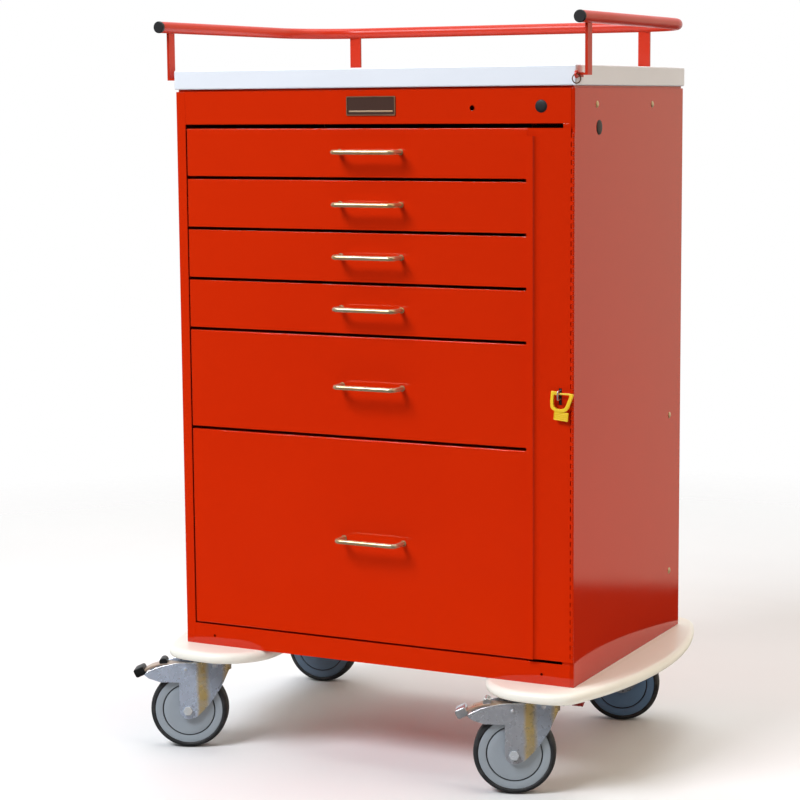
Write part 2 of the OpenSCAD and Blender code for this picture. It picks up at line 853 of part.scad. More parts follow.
left_side_panel();
right_side_panel();
back_panel();
floor_panel();
front_header();
front_sill();
right_stile();
worktop();
guard_rail();
rail_end_caps();
nameplate();
hole_plugs();
side_screws();
slide_rails();
bumper_left();
bumper_right();
chassis_plates();
hinge_leaf();
hinge_pin();
tag_ring();
lock_bar();
lock_staple();
breakaway_seal();
drawer_front_1();
drawer_box_1();
drawer_pull_1();
drawer_front_2();
drawer_box_2();
drawer_pull_2();
drawer_front_3();
drawer_box_3();
drawer_pull_3();
drawer_front_4();
drawer_box_4();
drawer_pull_4();
drawer_front_5();
drawer_box_5();
drawer_pull_5();
drawer_front_6();
drawer_box_6();
drawer_pull_6();
fork_fl();
axle_fl();
wheel_core_fl();
tyre_fl();
fork_fr();
axle_fr();
wheel_core_fr();
tyre_fr();
fork_rl();
axle_rl();
wheel_core_rl();
tyre_rl();
fork_rr();
axle_rr();
wheel_core_rr();
tyre_rr();
brake_pedal_fl();
brake_pedal_fr();
tracking_pedal();
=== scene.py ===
import bpy, bmesh, json, math
from mathutils import Vector, Matrix


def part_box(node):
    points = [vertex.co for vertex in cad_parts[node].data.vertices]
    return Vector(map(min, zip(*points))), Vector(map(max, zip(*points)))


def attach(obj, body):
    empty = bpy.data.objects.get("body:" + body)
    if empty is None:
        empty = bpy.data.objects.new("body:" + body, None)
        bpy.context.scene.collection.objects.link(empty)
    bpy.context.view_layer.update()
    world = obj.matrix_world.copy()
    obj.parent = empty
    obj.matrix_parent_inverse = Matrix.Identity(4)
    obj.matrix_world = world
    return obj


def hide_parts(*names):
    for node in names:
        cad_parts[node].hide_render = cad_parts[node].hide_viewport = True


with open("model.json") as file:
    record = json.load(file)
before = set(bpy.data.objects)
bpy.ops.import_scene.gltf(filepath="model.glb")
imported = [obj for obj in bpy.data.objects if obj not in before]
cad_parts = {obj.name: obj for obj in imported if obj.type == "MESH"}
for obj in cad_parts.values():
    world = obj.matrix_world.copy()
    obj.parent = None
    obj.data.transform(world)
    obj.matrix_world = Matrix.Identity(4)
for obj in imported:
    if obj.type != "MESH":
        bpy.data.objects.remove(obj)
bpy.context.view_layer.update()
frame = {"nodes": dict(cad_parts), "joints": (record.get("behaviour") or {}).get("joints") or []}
nodes = frame["nodes"]
joints = {j["name"]: j for j in frame["joints"]}
scene = bpy.context.scene
scene.view_settings.view_transform = "Standard"
scene.view_settings.look = "None"
scene.view_settings.exposure = 0.0

MM = 1000
MERGE = 1e-6
HARD_EDGE = math.radians(30)
SMOOTH = math.radians(32)
# Segments round a small turned piece and round a wheel
SMALL_TURN, WHEEL_TURN = 48, 128
CASTERS = ("fl", "fr", "rl", "rr")
WITH_PEDAL = ("fl", "fr")


# ---------------------------------------------------------------- helpers
def box_of(name):
    """Lower and upper corner of a CAD node's box."""
    lo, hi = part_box(name)
    return Vector(lo), Vector(hi)


def link(name, data):
    """New object in the scene with this mesh, light or camera."""
    o = bpy.data.objects.new(name, data)
    scene.collection.objects.link(o)
    return o


def from_bmesh(name, bm, material, smooth):
    """Object from a bmesh, shaded smooth up to an angle in degrees, or flat where that is None."""
    bmesh.ops.remove_doubles(bm, verts=bm.verts, dist=MERGE)
    bmesh.ops.recalc_face_normals(bm, faces=bm.faces)
    mesh = bpy.data.meshes.new(name)
    bm.to_mesh(mesh)
    bm.free()
    if smooth is not None:
        mesh.shade_smooth()
        mesh.set_sharp_from_angle(angle=math.radians(smooth))
    mesh.materials.append(material)
    return link(name, mesh)


def strip_faces(bm, a, b):
    """Quads between two closed rings of vertices."""
    n = len(a)
    for i in range(n):
        j = (i + 1) % n
        bm.faces.new((a[i], a[j], b[j], b[i]))


def lathe(name, profile, origin, axis, material, segments, closed=False):
    """Turns a profile of (radius, height) points round an axis through origin."""
    bm = bmesh.new()
    axis = Vector(axis).normalized()
    side = axis.orthogonal().normalized()
    up = axis.cross(side)
    rings = []
    for r, h in profile:
        middle = Vector(origin) + axis * h
        if r == 0.0:
            rings.append([bm.verts.new(middle)])
            continue
        ring = []
        for i in range(segments):
            a = 2 * math.pi * i / segments
            ring.append(bm.verts.new(middle + (side * math.cos(a) + up * math.sin(a)) * r))
        rings.append(ring)
    pairs = list(zip(rings, rings[1:]))
    if closed:
        pairs.append((rings[-1], rings[0]))
    for a, b in pairs:
        for i in range(segments):
            j = (i + 1) % segments
            if len(a) == 1:
                bm.faces.new((a[0], b[i], b[j]))
            elif len(b) == 1:
                bm.faces.new((a[i], a[j], b[0]))
            else:
                bm.faces.new((a[i], a[j], b[j], b[i]))
    return from_bmesh(name, bm, material, smooth=35)


def sweep(name, path, radius, material, sides):
    """Round rod along a list of points."""
    bm = bmesh.new()
    points = [Vector(p) for p in path]
    rings = []
    last = None
    for i, p in enumerate(points):
        before = points[max(i - 1, 0)]
        after = points[min(i + 1, len(points) - 1)]
        t = (after - before).normalized()
        if last is None:
            last = t.orthogonal().normalized()
        u = (last - t * last.dot(t)).normalized()
        v = t.cross(u)
        last = u
        ring = []
        for k in range(sides):
            a = 2 * math.pi * k / sides
            ring.append(bm.verts.new(p + (u * math.cos(a) + v * math.sin(a)) * radius))
        rings.append(ring)
    for a, b in zip(rings, rings[1:]):
        strip_faces(bm, a, b)
    bm.faces.new(list(reversed(rings[0])))
    bm.faces.new(rings[-1])
    return from_bmesh(name, bm, material, smooth=45)


def prism(name, outline, y0, y1, material, bevel=0.0, segments=3):
    """Closed outline of (x, z) points, from y0 to y1, with rounded edges."""
    bm = bmesh.new()
    low = [bm.verts.new((x, y0, z)) for x, z in outline]
    high = [bm.verts.new((x, y1, z)) for x, z in outline]
    bm.faces.new(low)
    bm.faces.new(list(reversed(high)))
    strip_faces(bm, low, high)
    bmesh.ops.recalc_face_normals(bm, faces=bm.faces)
    if bevel > 0:
        sharp = [e for e in bm.edges if len(e.link_faces) == 2 and e.calc_face_angle(0) > HARD_EDGE]
        bmesh.ops.bevel(bm, geom=sharp, offset=bevel, segments=segments, profile=0.5,
                        affect="EDGES", clamp_overlap=True)
    return from_bmesh(name, bm, material, smooth=30)


def round_rect(cx, cy, w, h, r, n=6, turn=0.0):
    """Rounded rectangle outline, turned by an angle in degrees about its middle."""
    pts = []
    for sx, sy, a0 in ((1, 1, 0), (-1, 1, 90), (-1, -1, 180), (1, -1, 270)):
        for i in range(n + 1):
            a = math.radians(a0 + 90 * i / n)
            pts.append((sx * (w / 2 - r) + r * math.cos(a), sy * (h / 2 - r) + r * math.sin(a)))
    c, s = math.cos(math.radians(turn)), math.sin(math.radians(turn))
    return [(cx + x * c - y * s, cy + x * s + y * c) for x, y in pts]


def dome(name, centre, axis, r, h, material, rim=0.0006):
    """Low round head of radius r and height h, with a thin rim where it meets the sheet."""
    prof = [(0.0, h)]
    for i in range(1, 9):
        a = i / 8 * math.pi / 2
        prof.append((r * 0.90 * math.sin(a), rim + (h - rim) * math.cos(a)))
    prof += [(r * 0.93, rim), (r * 0.985, rim * 0.85), (r, rim * 0.4), (r, 0.0), (0.0, 0.0)]
    return lathe(name, prof, centre, axis, material, SMALL_TURN)


def register(o, body, node=None):
    if node:
        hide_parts(node)
    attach(o, body)


def caster_frame(c):
    """Swivel point of a caster, and the directions away from the pedal's end and along the axle."""
    side = Vector(joints[f"wheel_spin_{c}"]["axis"]).normalized()
    lead = Vector((side.y, -side.x, 0.0))
    return Vector(joints[f"swivel_{c}"]["pos_m"]), lead, side


# ---------------------------------------------------------------- materials
class Graph:
    """Small helper for building a node material in object coordinates."""

    def __init__(self, name):
        self.mat = bpy.data.materials.new(name)
        self.mat.use_nodes = True
        self.t = self.mat.node_tree
        self.t.nodes.clear()
        self.out = self.t.nodes.new("ShaderNodeOutputMaterial")
        self.bsdf = self.t.nodes.new("ShaderNodeBsdfPrincipled")
        self.t.links.new(self.bsdf.outputs[0], self.out.inputs[0])
        self.co = self.t.nodes.new("ShaderNodeTexCoord").outputs["Object"]

    def set(self, **values):
        """Sets numbers on the shader itself; an underscore stands for a space."""
        for key, value in values.items():
            self.bsdf.inputs[key.replace("_", " ")].default_value = value

    def link(self, a, b):
        self.t.links.new(a, b)

    def place(self, stretch):
        """Object coordinates, multiplied by a factor on each axis where one is given."""
        if stretch is None:
            return self.co
        m = self.t.nodes.new("ShaderNodeMapping")
        m.inputs["Scale"].default_value = stretch
        self.link(self.co, m.inputs["Vector"])
        return m.outputs[0]

    def noise(self, scale, detail, rough, stretch=None, distort=0.0):
        n = self.t.nodes.new("ShaderNodeTexNoise")
        n.inputs["Scale"].default_value = scale
        n.inputs["Detail"].default_value = detail
        n.inputs["Roughness"].default_value = rough
        n.inputs["Distortion"].default_value = distort
        self.link(self.place(stretch), n.inputs["Vector"])
        return n.outputs["Fac"]

    def voronoi(self, scale):
        n = self.t.nodes.new("ShaderNodeTexVoronoi")
        n.inputs["Scale"].default_value = scale
        self.link(self.co, n.inputs["Vector"])
        return n.outputs["Distance"]

    def ramp(self, fac, stops):
        r = self.t.nodes.new("ShaderNodeValToRGB")
        els = r.color_ramp.elements
        while len(els) < len(stops):
            els.new(0.5)
        for e, (pos, col) in zip(els, stops):
            e.position = pos
            e.color = (*col, 1.0)
        self.link(fac, r.inputs["Fac"])
        return r.outputs["Color"]

    def map(self, fac, a, b, lo=0.0, hi=1.0):
        m = self.t.nodes.new("ShaderNodeMapRange")
        m.inputs["From Min"].default_value = lo
        m.inputs["From Max"].default_value = hi
        m.inputs["To Min"].default_value = a
        m.inputs["To Max"].default_value = b
        self.link(fac, m.inputs["Value"])
        return m.outputs["Result"]

    def add(self, a, b):
        m = self.t.nodes.new("ShaderNodeMath")
        m.operation = "ADD"
        self.link(a, m.inputs[0])
        self.link(b, m.inputs[1])
        return m.outputs[0]

    def vector_math(self, op):
        """Vector maths node that reads the object coordinates."""
        m = self.t.nodes.new("ShaderNodeVectorMath")
        m.operation = op
        self.link(self.co, m.inputs[0])
        return m

    def mix(self, fac, a, b):
        """Blend of two colours, each a tuple or a socket."""
        m = self.t.nodes.new("ShaderNodeMix")
        m.data_type = "RGBA"
        self.link(fac, m.inputs[0])
        for sock, v in zip([s for s in m.inputs if s.type == "RGBA"], (a, b)):
            if isinstance(v, tuple):
                sock.default_value = (*v, 1.0)
            else:
                self.link(v, sock)
        return [s for s in m.outputs if s.type == "RGBA"][0]

    def bump(self, height, strength, distance, chain=None):
        b = self.t.nodes.new("ShaderNodeBump")
        b.inputs["Strength"].default_value = strength
        b.inputs["Distance"].default_value = distance
        self.link(height, b.inputs["Height"])
        if chain is not None:
            self.link(chain, b.inputs["Normal"])
        self.link(b.outputs[0], self.bsdf.inputs["Normal"])
        return b.outputs[0]

    def color(self, sock):
        self.link(sock, self.bsdf.inputs["Base Color"])

    def rough(self, sock):
        self.link(sock, self.bsdf.inputs["Roughness"])


def scaled(colour, factor):
    return tuple(c * factor for c in colour)


def powder(name, base, dark, rough, peel=0.06):
    """Glossy powder coat: faint colour drift, orange peel, rub marks and small scuffs."""
    g = Graph(name)
    drift = g.noise(2.2, 4.0, 0.55)
    col = g.ramp(drift, [(0.30, dark), (0.70, base)])
    scuff = g.noise(26.0, 6.0, 0.7, stretch=(1.0, 1.0, 9.0))
    scuffs = g.map(scuff, 0.0, 0.10, 0.70, 0.84)
    light = tuple(min(1.0, c * 1.12 + 0.015) for c in base)
    g.color(g.mix(scuffs, col, light))
    smear = g.noise(9.0, 5.0, 0.6, stretch=(1.0, 1.0, 2.5))
    g.rough(g.map(smear, rough[0], rough[1], 0.35, 0.70))
    fine = g.bump(g.noise(900.0, 2.0, 0.5), peel, 0.00025)
    g.bump(g.noise(60.0, 2.0, 0.5), 0.015, 0.0008, fine)
    g.set(Metallic=0.0, IOR=1.42, Coat_Weight=0.04, Coat_Roughness=0.10)
    return g.mat


def laminate(name, base, dark):
    """Satin white worktop skin with very fine pebble and faint stains."""
    g = Graph(name)
    g.color(g.ramp(g.noise(5.0, 5.0, 0.6), [(0.25, dark), (0.75, base)]))
    g.rough(g.map(g.noise(30.0, 4.0, 0.6), 0.32, 0.46, 0.3, 0.7))
    g.bump(g.noise(1400.0, 3.0, 0.6), 0.10, 0.0002)
    g.set(Metallic=0.0, IOR=1.47)
    return g.mat


def plastic(name, base, dark, rough, grain=1100.0, depth=0.18, speck=0.0):
    """Moulded plastic with a fine spark-eroded grain and slight handling marks."""
    g = Graph(name)
    col = g.ramp(g.noise(7.0, 5.0, 0.6), [(0.28, dark), (0.74, base)])
    if speck:
        dirt = g.map(g.noise(55.0, 6.0, 0.7), 0.0, speck, 0.60, 0.78)
        col = g.mix(dirt, col, scaled(base, 0.55))
    g.color(col)
    g.rough(g.map(g.noise(22.0, 4.0, 0.6), rough[0], rough[1], 0.3, 0.7))
    g.bump(g.voronoi(grain), depth, 0.00022)
    g.set(Metallic=0.0, IOR=1.49)
    return g.mat


def zinc(name, base, warm, cool, rough=(0.24, 0.42), metal=1.0):
    """Bright zinc plate: metal with drifting blue and yellow passivation tints and drawn marks."""
    g = Graph(name)
    drift = g.noise(16.0, 3.0, 0.5, distort=0.6)
    tint = g.ramp(drift, [(0.30, cool), (0.52, base), (0.70, warm)])
    spots = g.map(g.noise(130.0, 5.0, 0.7), 0.0, 0.22, 0.60, 0.85)
    g.color(g.mix(spots, tint, scaled(base, 0.80)))
    drawn = g.noise(60.0, 5.0, 0.65, stretch=(1.0, 1.0, 4.0))
    g.rough(g.map(drawn, rough[0], rough[1], 0.3, 0.7))
    g.bump(g.noise(420.0, 4.0, 0.6), 0.10, 0.0002)
    g.set(Metallic=metal)
    return g.mat


def fork_zinc_painted_light(name, origin, lead, cheek, front, bend_highlight, dark):
    """Pressed zinc fork: clear bluish cheeks, painted yellow highlights where the sheet bends round the
    front, and painted shade where it turns away beyond.
    """
    g = Graph(name)
    dot = g.vector_math("DOT_PRODUCT")
    dot.inputs[1].default_value = lead
    along = g.add(dot.outputs["Value"], g.map(g.noise(30.0, 3.0, 0.5), -0.0035, 0.0035))
    start = Vector(origin).dot(Vector(lead))
    place = g.map(along, 0.0, 1.0, start - 0.060, start + 0.030)
    # Bands along the lead: the cheek, a painted highlight on the first bend, the front face, a second
    # painted bend highlight, and painted shade at the far turn
    stops = [(0.0, cheek), (0.34, cheek), (0.40, bend_highlight), (0.50, scaled(bend_highlight, 0.88))]
    stops += [(0.58, front), (0.78, front), (0.86, bend_highlight), (0.96, dark)]
    tint = g.ramp(place, stops)
    blots = g.map(g.noise(110.0, 4.0, 0.6), 0.0, 0.45, 0.40, 0.78)
    g.color(g.mix(blots, tint, scaled(cheek, 0.76)))
    g.rough(g.map(g.noise(80.0, 3.0, 0.5), 0.22, 0.34, 0.3, 0.7))
    g.bump(g.noise(180.0, 3.0, 0.5), 0.08, 0.0002)
    g.set(Metallic=0.50)
    return g.mat


def rubber(name, base):
    """Matt tread rubber with moulding grain and pale scuffs from the floor."""
    g = Graph(name)
    dust = g.map(g.noise(38.0, 6.0, 0.7), 0.0, 0.55, 0.50, 0.80)
    g.color(g.mix(dust, base, (0.12, 0.115, 0.11)))
    g.rough(g.map(g.noise(80.0, 4.0, 0.6), 0.60, 0.80, 0.3, 0.7))
    g.bump(g.noise(900.0, 3.0, 0.6), 0.25, 0.0003)
    g.set(Metallic=0.0, IOR=1.5)
    return g.mat


RED = powder("red_powder_coat", (0.645, 0.0245, 0.0012), (0.610, 0.0208, 0.0010),
             rough=(0.035, 0.065), peel=0.02)
# Darker copy of the red coat for the right side panel: painted shade on that side of the cabinet
RED_SHADED_SIDE = powder("red_coat_painted_side_shade", (0.530, 0.0190, 0.0010), (0.500, 0.0165, 0.0008),
              rough=(0.035, 0.065), peel=0.02)
RAIL = powder("red_rail_coat", (0.56, 0.0240, 0.0025), (0.53, 0.0210, 0.0020),
              rough=(0.30, 0.42), peel=0.03)
RED_BOX = powder("red_drawer_inside", (0.52, 0.024, 0.004), (0.46, 0.019, 0.0035),
                 rough=(0.34, 0.46), peel=0.16)
RED_DARK = powder("dark_red_pedal", (0.34, 0.020, 0.012), (0.26, 0.014, 0.010), rough=(0.30, 0.42))
PLATE = powder("dark_plate", (0.060, 0.020, 0.009), (0.044, 0.015, 0.007), rough=(0.52, 0.62))
WHITE = laminate("white_top", (0.84, 0.875, 0.925), (0.81, 0.845, 0.89))
CREAM = plastic("cream_bumper", (0.92, 0.90, 0.80), (0.88, 0.86, 0.76),
                rough=(0.30, 0.44), grain=900.0, depth=0.10, speck=0.10)
BLACK = plastic("black_plastic", (0.013, 0.012, 0.012), (0.008, 0.008, 0.008), rough=(0.40, 0.56))
YELLOW = plastic("yellow_seal", (0.94, 0.66, 0.03), (0.86, 0.56, 0.02),
                 rough=(0.28, 0.42), grain=1500.0, depth=0.10)
GREY = plastic("grey_wheel", (0.330, 0.375, 0.410), (0.295, 0.335, 0.370),
               rough=(0.40, 0.56), grain=1300.0, depth=0.14, speck=0.22)
# Darker, bluer copies of the wheel grey for the two rear wheels: painted shade under the back of the
# cabinet
SHADED_BLUE_GREY = plastic("grey_wheel_painted_shade_blue", (0.125, 0.225, 0.380), (0.105, 0.195, 0.335),
                    rough=(0.42, 0.58), grain=1300.0, depth=0.14, speck=0.20)
SHADED_DARK_GREY = plastic("grey_wheel_painted_shade_dark", (0.120, 0.170, 0.240), (0.100, 0.145, 0.205),
                    rough=(0.42, 0.58), grain=1300.0, depth=0.14, speck=0.20)
TREAD = rubber("black_tread", (0.020, 0.021, 0.023))
ZINC = zinc("zinc_steel", (0.52, 0.55, 0.60), (0.60, 0.54, 0.44), (0.42, 0.48, 0.57), metal=0.55)
STEEL = zinc("slide_steel", (0.50, 0.51, 0.53), (0.54, 0.53, 0.50), (0.46, 0.48, 0.52),
             rough=(0.30, 0.46))
BRASSY = zinc("yellow_zinc", (0.60, 0.47, 0.28), (0.66, 0.46, 0.20), (0.52, 0.46, 0.34),
              rough=(0.28, 0.44), metal=0.5)
COPPERY = zinc("warm_zinc", (0.58, 0.44, 0.34), (0.66, 0.44, 0.28), (0.50, 0.46, 0.44),
               rough=(0.24, 0.40), metal=0.5)
BRONZE = zinc("dark_bronze", (0.155, 0.080, 0.045), (0.20, 0.10, 0.05), (0.11, 0.06, 0.04),
              rough=(0.30, 0.45), metal=0.6)
SILVER = zinc("bright_zinc", (0.70, 0.72, 0.76), (0.74, 0.72, 0.66), (0.64, 0.68, 0.76),
              rough=(0.14, 0.26), metal=0.7)
BRIGHT = zinc("polished_zinc", (0.86, 0.88, 0.92), (0.88, 0.86, 0.80), (0.80, 0.84, 0.92),
              rough=(0.10, 0.20), metal=0.55)
AXLE = zinc("axle_zinc", (0.62, 0.65, 0.66), (0.66, 0.64, 0.56), (0.58, 0.63, 0.68),
            rough=(0.18, 0.30), metal=0.25)
# Warm tan on the bright wire of the pulls: painted reflection of the red drawer fronts and the dim room
PULL_PAINTED_REFLECTION = zinc("pull_wire", (0.64, 0.47, 0.26), (0.66, 0.42, 0.18), (0.62, 0.52, 0.36),
            rough=(0.18, 0.30), metal=0.60)
PLATE_EDGE = zinc("plate_edge", (0.26, 0.135, 0.075), (0.32, 0.16, 0.08), (0.20, 0.11, 0.07),
                  rough=(0.32, 0.46), metal=0.5)
TAN = zinc("tan_strip", (0.50, 0.34, 0.20), (0.54, 0.34, 0.18), (0.44, 0.32, 0.22),
           rough=(0.34, 0.48), metal=0.3)


# ---------------------------------------------------------------- CAD sub-parts
def take_over(o, material):
    """Gives a CAD node one material, and drops its stored normals."""
    mesh = o.data
    mesh.materials.clear()
    mesh.materials.append(material)
    for p in mesh.polygons:
        p.material_index = 0
    if "custom_normal" in mesh.attributes:
        mesh.attributes.remove(mesh.attributes["custom_normal"])
    mesh.shade_smooth()


def dress(name, material, bevel=0.0, segments=2):
    """Gives a CAD node its material, and rounds its hard edges with a modifier."""
    o = nodes[name]
    take_over(o, material)
    weld = o.modifiers.new("weld", "WELD")
    weld.merge_threshold = MERGE
    o.data.set_sharp_from_angle(angle=SMOOTH)
    if bevel > 0:
        flat = o.modifiers.new("flat", "DECIMATE")
        flat.decimate_type = "DISSOLVE"
        flat.angle_limit = math.radians(0.5)
        edge = o.modifiers.new("edge", "BEVEL")
        edge.width = bevel
        edge.segments = segments
        edge.limit_method = "ANGLE"
        edge.angle_limit = HARD_EDGE
        edge.harden_normals = False
        edge.use_clamp_overlap = True
        even = o.modifiers.new("even", "WEIGHTED_NORMAL")
        even.mode = "FACE_AREA"
        even.weight = 100
    else:
        split = o.modifiers.new("split", "EDGE_SPLIT")
        split.use_edge_sharp = False
        split.split_angle = SMOOTH


# Half width and front reach of a fork's rounded walls, in mm from the swivel. Seen from above, such
# a wall starts SKIN_BACK behind the swivel and closes in to the front by the rule in wall_normals.
FORK_SKINS = ((20.8, 24.5), (18.2, 21.9), (19.8, 23.5))
SKIN_BACK = 26.5
# A face belongs to a wall if it is upright, within this many mm of it, and not at its very end
WALL_SLACK = 0.4
WALL_END = 0.5
UPRIGHT_Z = 0.02


def wall_normals(places, lead, side):
    """Normals at places (along lead, along side) on one of the rounded walls, or None off them."""
    for half, reach in FORK_SKINS:
        length = reach + SKIN_BACK
        normals, furthest = [], 0.0
        for x, y in places:
            u = max(0.0, (x + SKIN_BACK) / length)
            slope = Vector((3 * u * u / length, 2 * y / half ** 2))
            off = abs((y / half) ** 2 - 1 + u ** 3) / max(slope.length, 1e-6)
            furthest = max(furthest, off)
            slope.normalize()
            normals.append(lead * slope.x + side * slope.y)
        if furthest < WALL_SLACK and max(x for x, _ in places) > -SKIN_BACK + WALL_END:
            return normals
    return None


def dress_fork(name, material, origin, lead, side):
    """Gives a fork its material, and the true normals of its rounded plan, faceted in the mesh."""
    mesh = nodes[name].data
    take_over(nodes[name], material)
    normals = []
    for poly in mesh.polygons:
        flat = Vector(poly.normal)
        places = []
        for i in poly.vertices:
            d = (mesh.vertices[i].co - origin) * MM
            places.append((d.dot(lead), d.dot(side)))
        upright = abs(flat.z) < UPRIGHT_Z
        found = wall_normals(places, lead, side) if upright else None
        for n in found or [flat] * len(places):
            normals.append(n if n.dot(flat) >= 0 else -n)
    mesh.normals_split_custom_set(normals)


# The right side panel takes the darker copy of the red coat: painted shade
dress("right_side_panel", RED_SHADED_SIDE, bevel=0.0006)
for name in ("left_side_panel", "back_panel", "floor_panel", "front_header", "front_sill", "right_stile"):
    dress(name, RED, bevel=0.0006)
dress("hinge_leaf", RED)
dress("hinge_pin", ZINC)
dress("lock_bar", RED)
dress("guard_rail", RAIL)
dress("worktop", WHITE, bevel=0.0022, segments=4)
dress("rail_end_caps", BLACK, bevel=0.0012, segments=3)
dress("slide_rails", STEEL, bevel=0.0004)
dress("chassis_plates", ZINC, bevel=0.0006)
dress("tag_ring", BRONZE)
for k in range(1, 7):
    dress(f"drawer_front_{k}", RED, bevel=0.0012, segments=3)
    dress(f"drawer_box_{k}", RED_BOX, bevel=0.0004)
    dress(f"drawer_pull_{k}", PULL_PAINTED_REFLECTION)

# Colours of a front fork: its front face, painted highlights on the bends beside it and painted shade on
# the turn behind them
FRONT_LIGHT_AND_SHADE = ((0.50, 0.56, 0.66), (0.68, 0.50, 0.20), (0.12, 0.09, 0.05))
# Darker, bluer colours of a rear fork: painted shade behind the cabinet
REAR_SHADE = ((0.22, 0.27, 0.36), (0.24, 0.28, 0.36), (0.12, 0.14, 0.18))
# Cheek colour of each fork, all one zinc: lighter at the front left and darker at the back, as painted
# light and shade
CHEEK_LIGHT_AND_SHADE = {
    "fl": (0.68, 0.76, 0.90),
    "fr": (0.54, 0.56, 0.60),
    "rl": (0.34, 0.38, 0.45),
    "rr": (0.34, 0.38, 0.45),
}
for c in CASTERS:
    swivel, lead, side = caster_frame(c)
    tints = FRONT_LIGHT_AND_SHADE if c in WITH_PEDAL else REAR_SHADE
    coat = fork_zinc_painted_light(f"fork_zinc_painted_light_{c}", swivel, lead, CHEEK_LIGHT_AND_SHADE[c], *tints)
    dress_fork(f"fork_{c}", coat, swivel, lead, side)
    dress(f"axle_{c}", AXLE, bevel=0.0006)
dress("tracking_pedal", RED_DARK, bevel=0.0014, segments=3)


# ---------------------------------------------------------------- bumpers
CAB_LO = box_of("left_side_panel")[0]
CAB_HI = box_of("right_side_panel")[1]
HALF_DEPTH = 0.2175
EDGE_R = 0.0081
# Insets, from the outline, of the two flat rings that close a bumper above and below
FLAT_INSETS = (0.030, 0.020)


def bez(p, t):
    """Point at t on the cubic curve with the four control points p."""
    s = 1 - t
    weights = (s ** 3, 3 * t * s ** 2, 3 * t * t * s, t ** 3)
    return sum((Vector(q) * w for q, w in zip(p, weights)), Vector((0.0, 0.0)))


def half_outline(reach, n):
    """Front half of the right bumper's outline, in metres from the cabinet's middle.

    It starts under the cabinet, runs past the front face by reach, rounds the corner and ends at
    the middle of the outer side. The three curves meet in a, b, c and d.
    """
    a, b, c, d = (0.180, -0.1875), (0.263, -HALF_DEPTH - reach), (0.345, -0.2355), (0.388, 0.0)
    curves = (
        (a, (a[0], b[1] + 0.042), (b[0] - 0.048, b[1]), b),
        (b, (b[0] + 0.056, b[1]), (c[0] - 0.010, c[1] - 0.026), c),
        (c, (c[0] + 0.024, c[1] + 0.062), (d[0], -0.092), d),
    )
    half = [bez(curves[0], 0.0)]
    for curve in curves:
        half += [bez(curve, i / n) for i in range(1, n + 1)]
    return half


def bumper_outline(front, back, n=18):
    """Whole outline of the right bumper, from its reach past the front and the back face."""
    rear = [Vector((p.x, -p.y)) for p in reversed(half_outline(back, n)[:-1])]
    return half_outline(front, n) + rear


def bumper(side, node):
    """D-shaped moulded plate with a full round edge; side is 1 on the right and -1 on the left."""
    lo, hi = box_of(node)
    mid = (CAB_LO.x + CAB_HI.x) / 2
    pts = bumper_outline(-lo.y - HALF_DEPTH, hi.y - HALF_DEPTH)
    n = len(pts)
    normals = []
    for i in range(n):
        t = (pts[(i + 1) % n] - pts[i - 1]).normalized()
        normals.append(Vector((t.y, -t.x)))
    quarter = [i * math.pi / 16 for i in range(9)]
    steps = [(inset, lo.z) for inset in FLAT_INSETS]
    steps += [(EDGE_R * (1 - math.sin(a)), lo.z + EDGE_R * (1 - math.cos(a))) for a in quarter]
    steps += [(EDGE_R * (1 - math.cos(a)), hi.z - EDGE_R * (1 - math.sin(a))) for a in quarter]
    steps += [(inset, hi.z) for inset in reversed(FLAT_INSETS)]
    bm = bmesh.new()
    rings = []
    for inset, z in steps:
        inner = [(p.x - q.x * inset, p.y - q.y * inset) for p, q in zip(pts, normals)]
        rings.append([bm.verts.new((mid + side * x, y, z)) for x, y in inner])
    for a, b in zip(rings, rings[1:]):
        strip_faces(bm, a, b)
    bm.faces.new(list(reversed(rings[0])))
    bm.faces.new(rings[-1])
    o = from_bmesh(node + "_moulding", bm, CREAM, smooth=35)
    register(o, "cabinet", node)


bumper(1, "bumper_right")
bumper(-1, "bumper_left")


# ---------------------------------------------------------------- plugs and screws
# Places are given from the cabinet's left or front face, and from the top of the front opening
HEADER_GAP = 0.0032
OPENING_Z = box_of("front_header")[0].z - HEADER_GAP
HEADER_PLUG = (0.599, 0.027)
SIDE_PLUG = (0.089, -0.0035)
SIDE_SCREWS = ((0.081, 0.029), (0.301, 0.028), (0.386, -0.453), (0.390, -0.701))

place = (CAB_LO.x + HEADER_PLUG[0], CAB_LO.y, OPENING_Z + HEADER_PLUG[1])
plug = dome("plug_header", place, (0, -1, 0), r=0.009, h=0.0015, material=BLACK)
register(plug, "cabinet", "hole_plugs")
place = (CAB_HI.x, CAB_LO.y + SIDE_PLUG[0], OPENING_Z + SIDE_PLUG[1])
plug = dome("plug_side", place, (1, 0, 0), r=0.0105, h=0.0015, material=BLACK)
register(plug, "cabinet")

for i, (y, z) in enumerate(SIDE_SCREWS):
    for tag, x, out in (("r", CAB_HI.x, 1), ("l", CAB_LO.x, -1)):
        place = (x, CAB_LO.y + y, OPENING_Z + z)
        screw = dome(f"side_screw_{tag}_{i + 1}", place, (out, 0, 0), r=0.005, h=0.0016,
                     material=BRASSY, rim=0.0004)
        first = i == 0 and tag == "r"
        register(screw, "cabinet", "side_screws" if first else None)


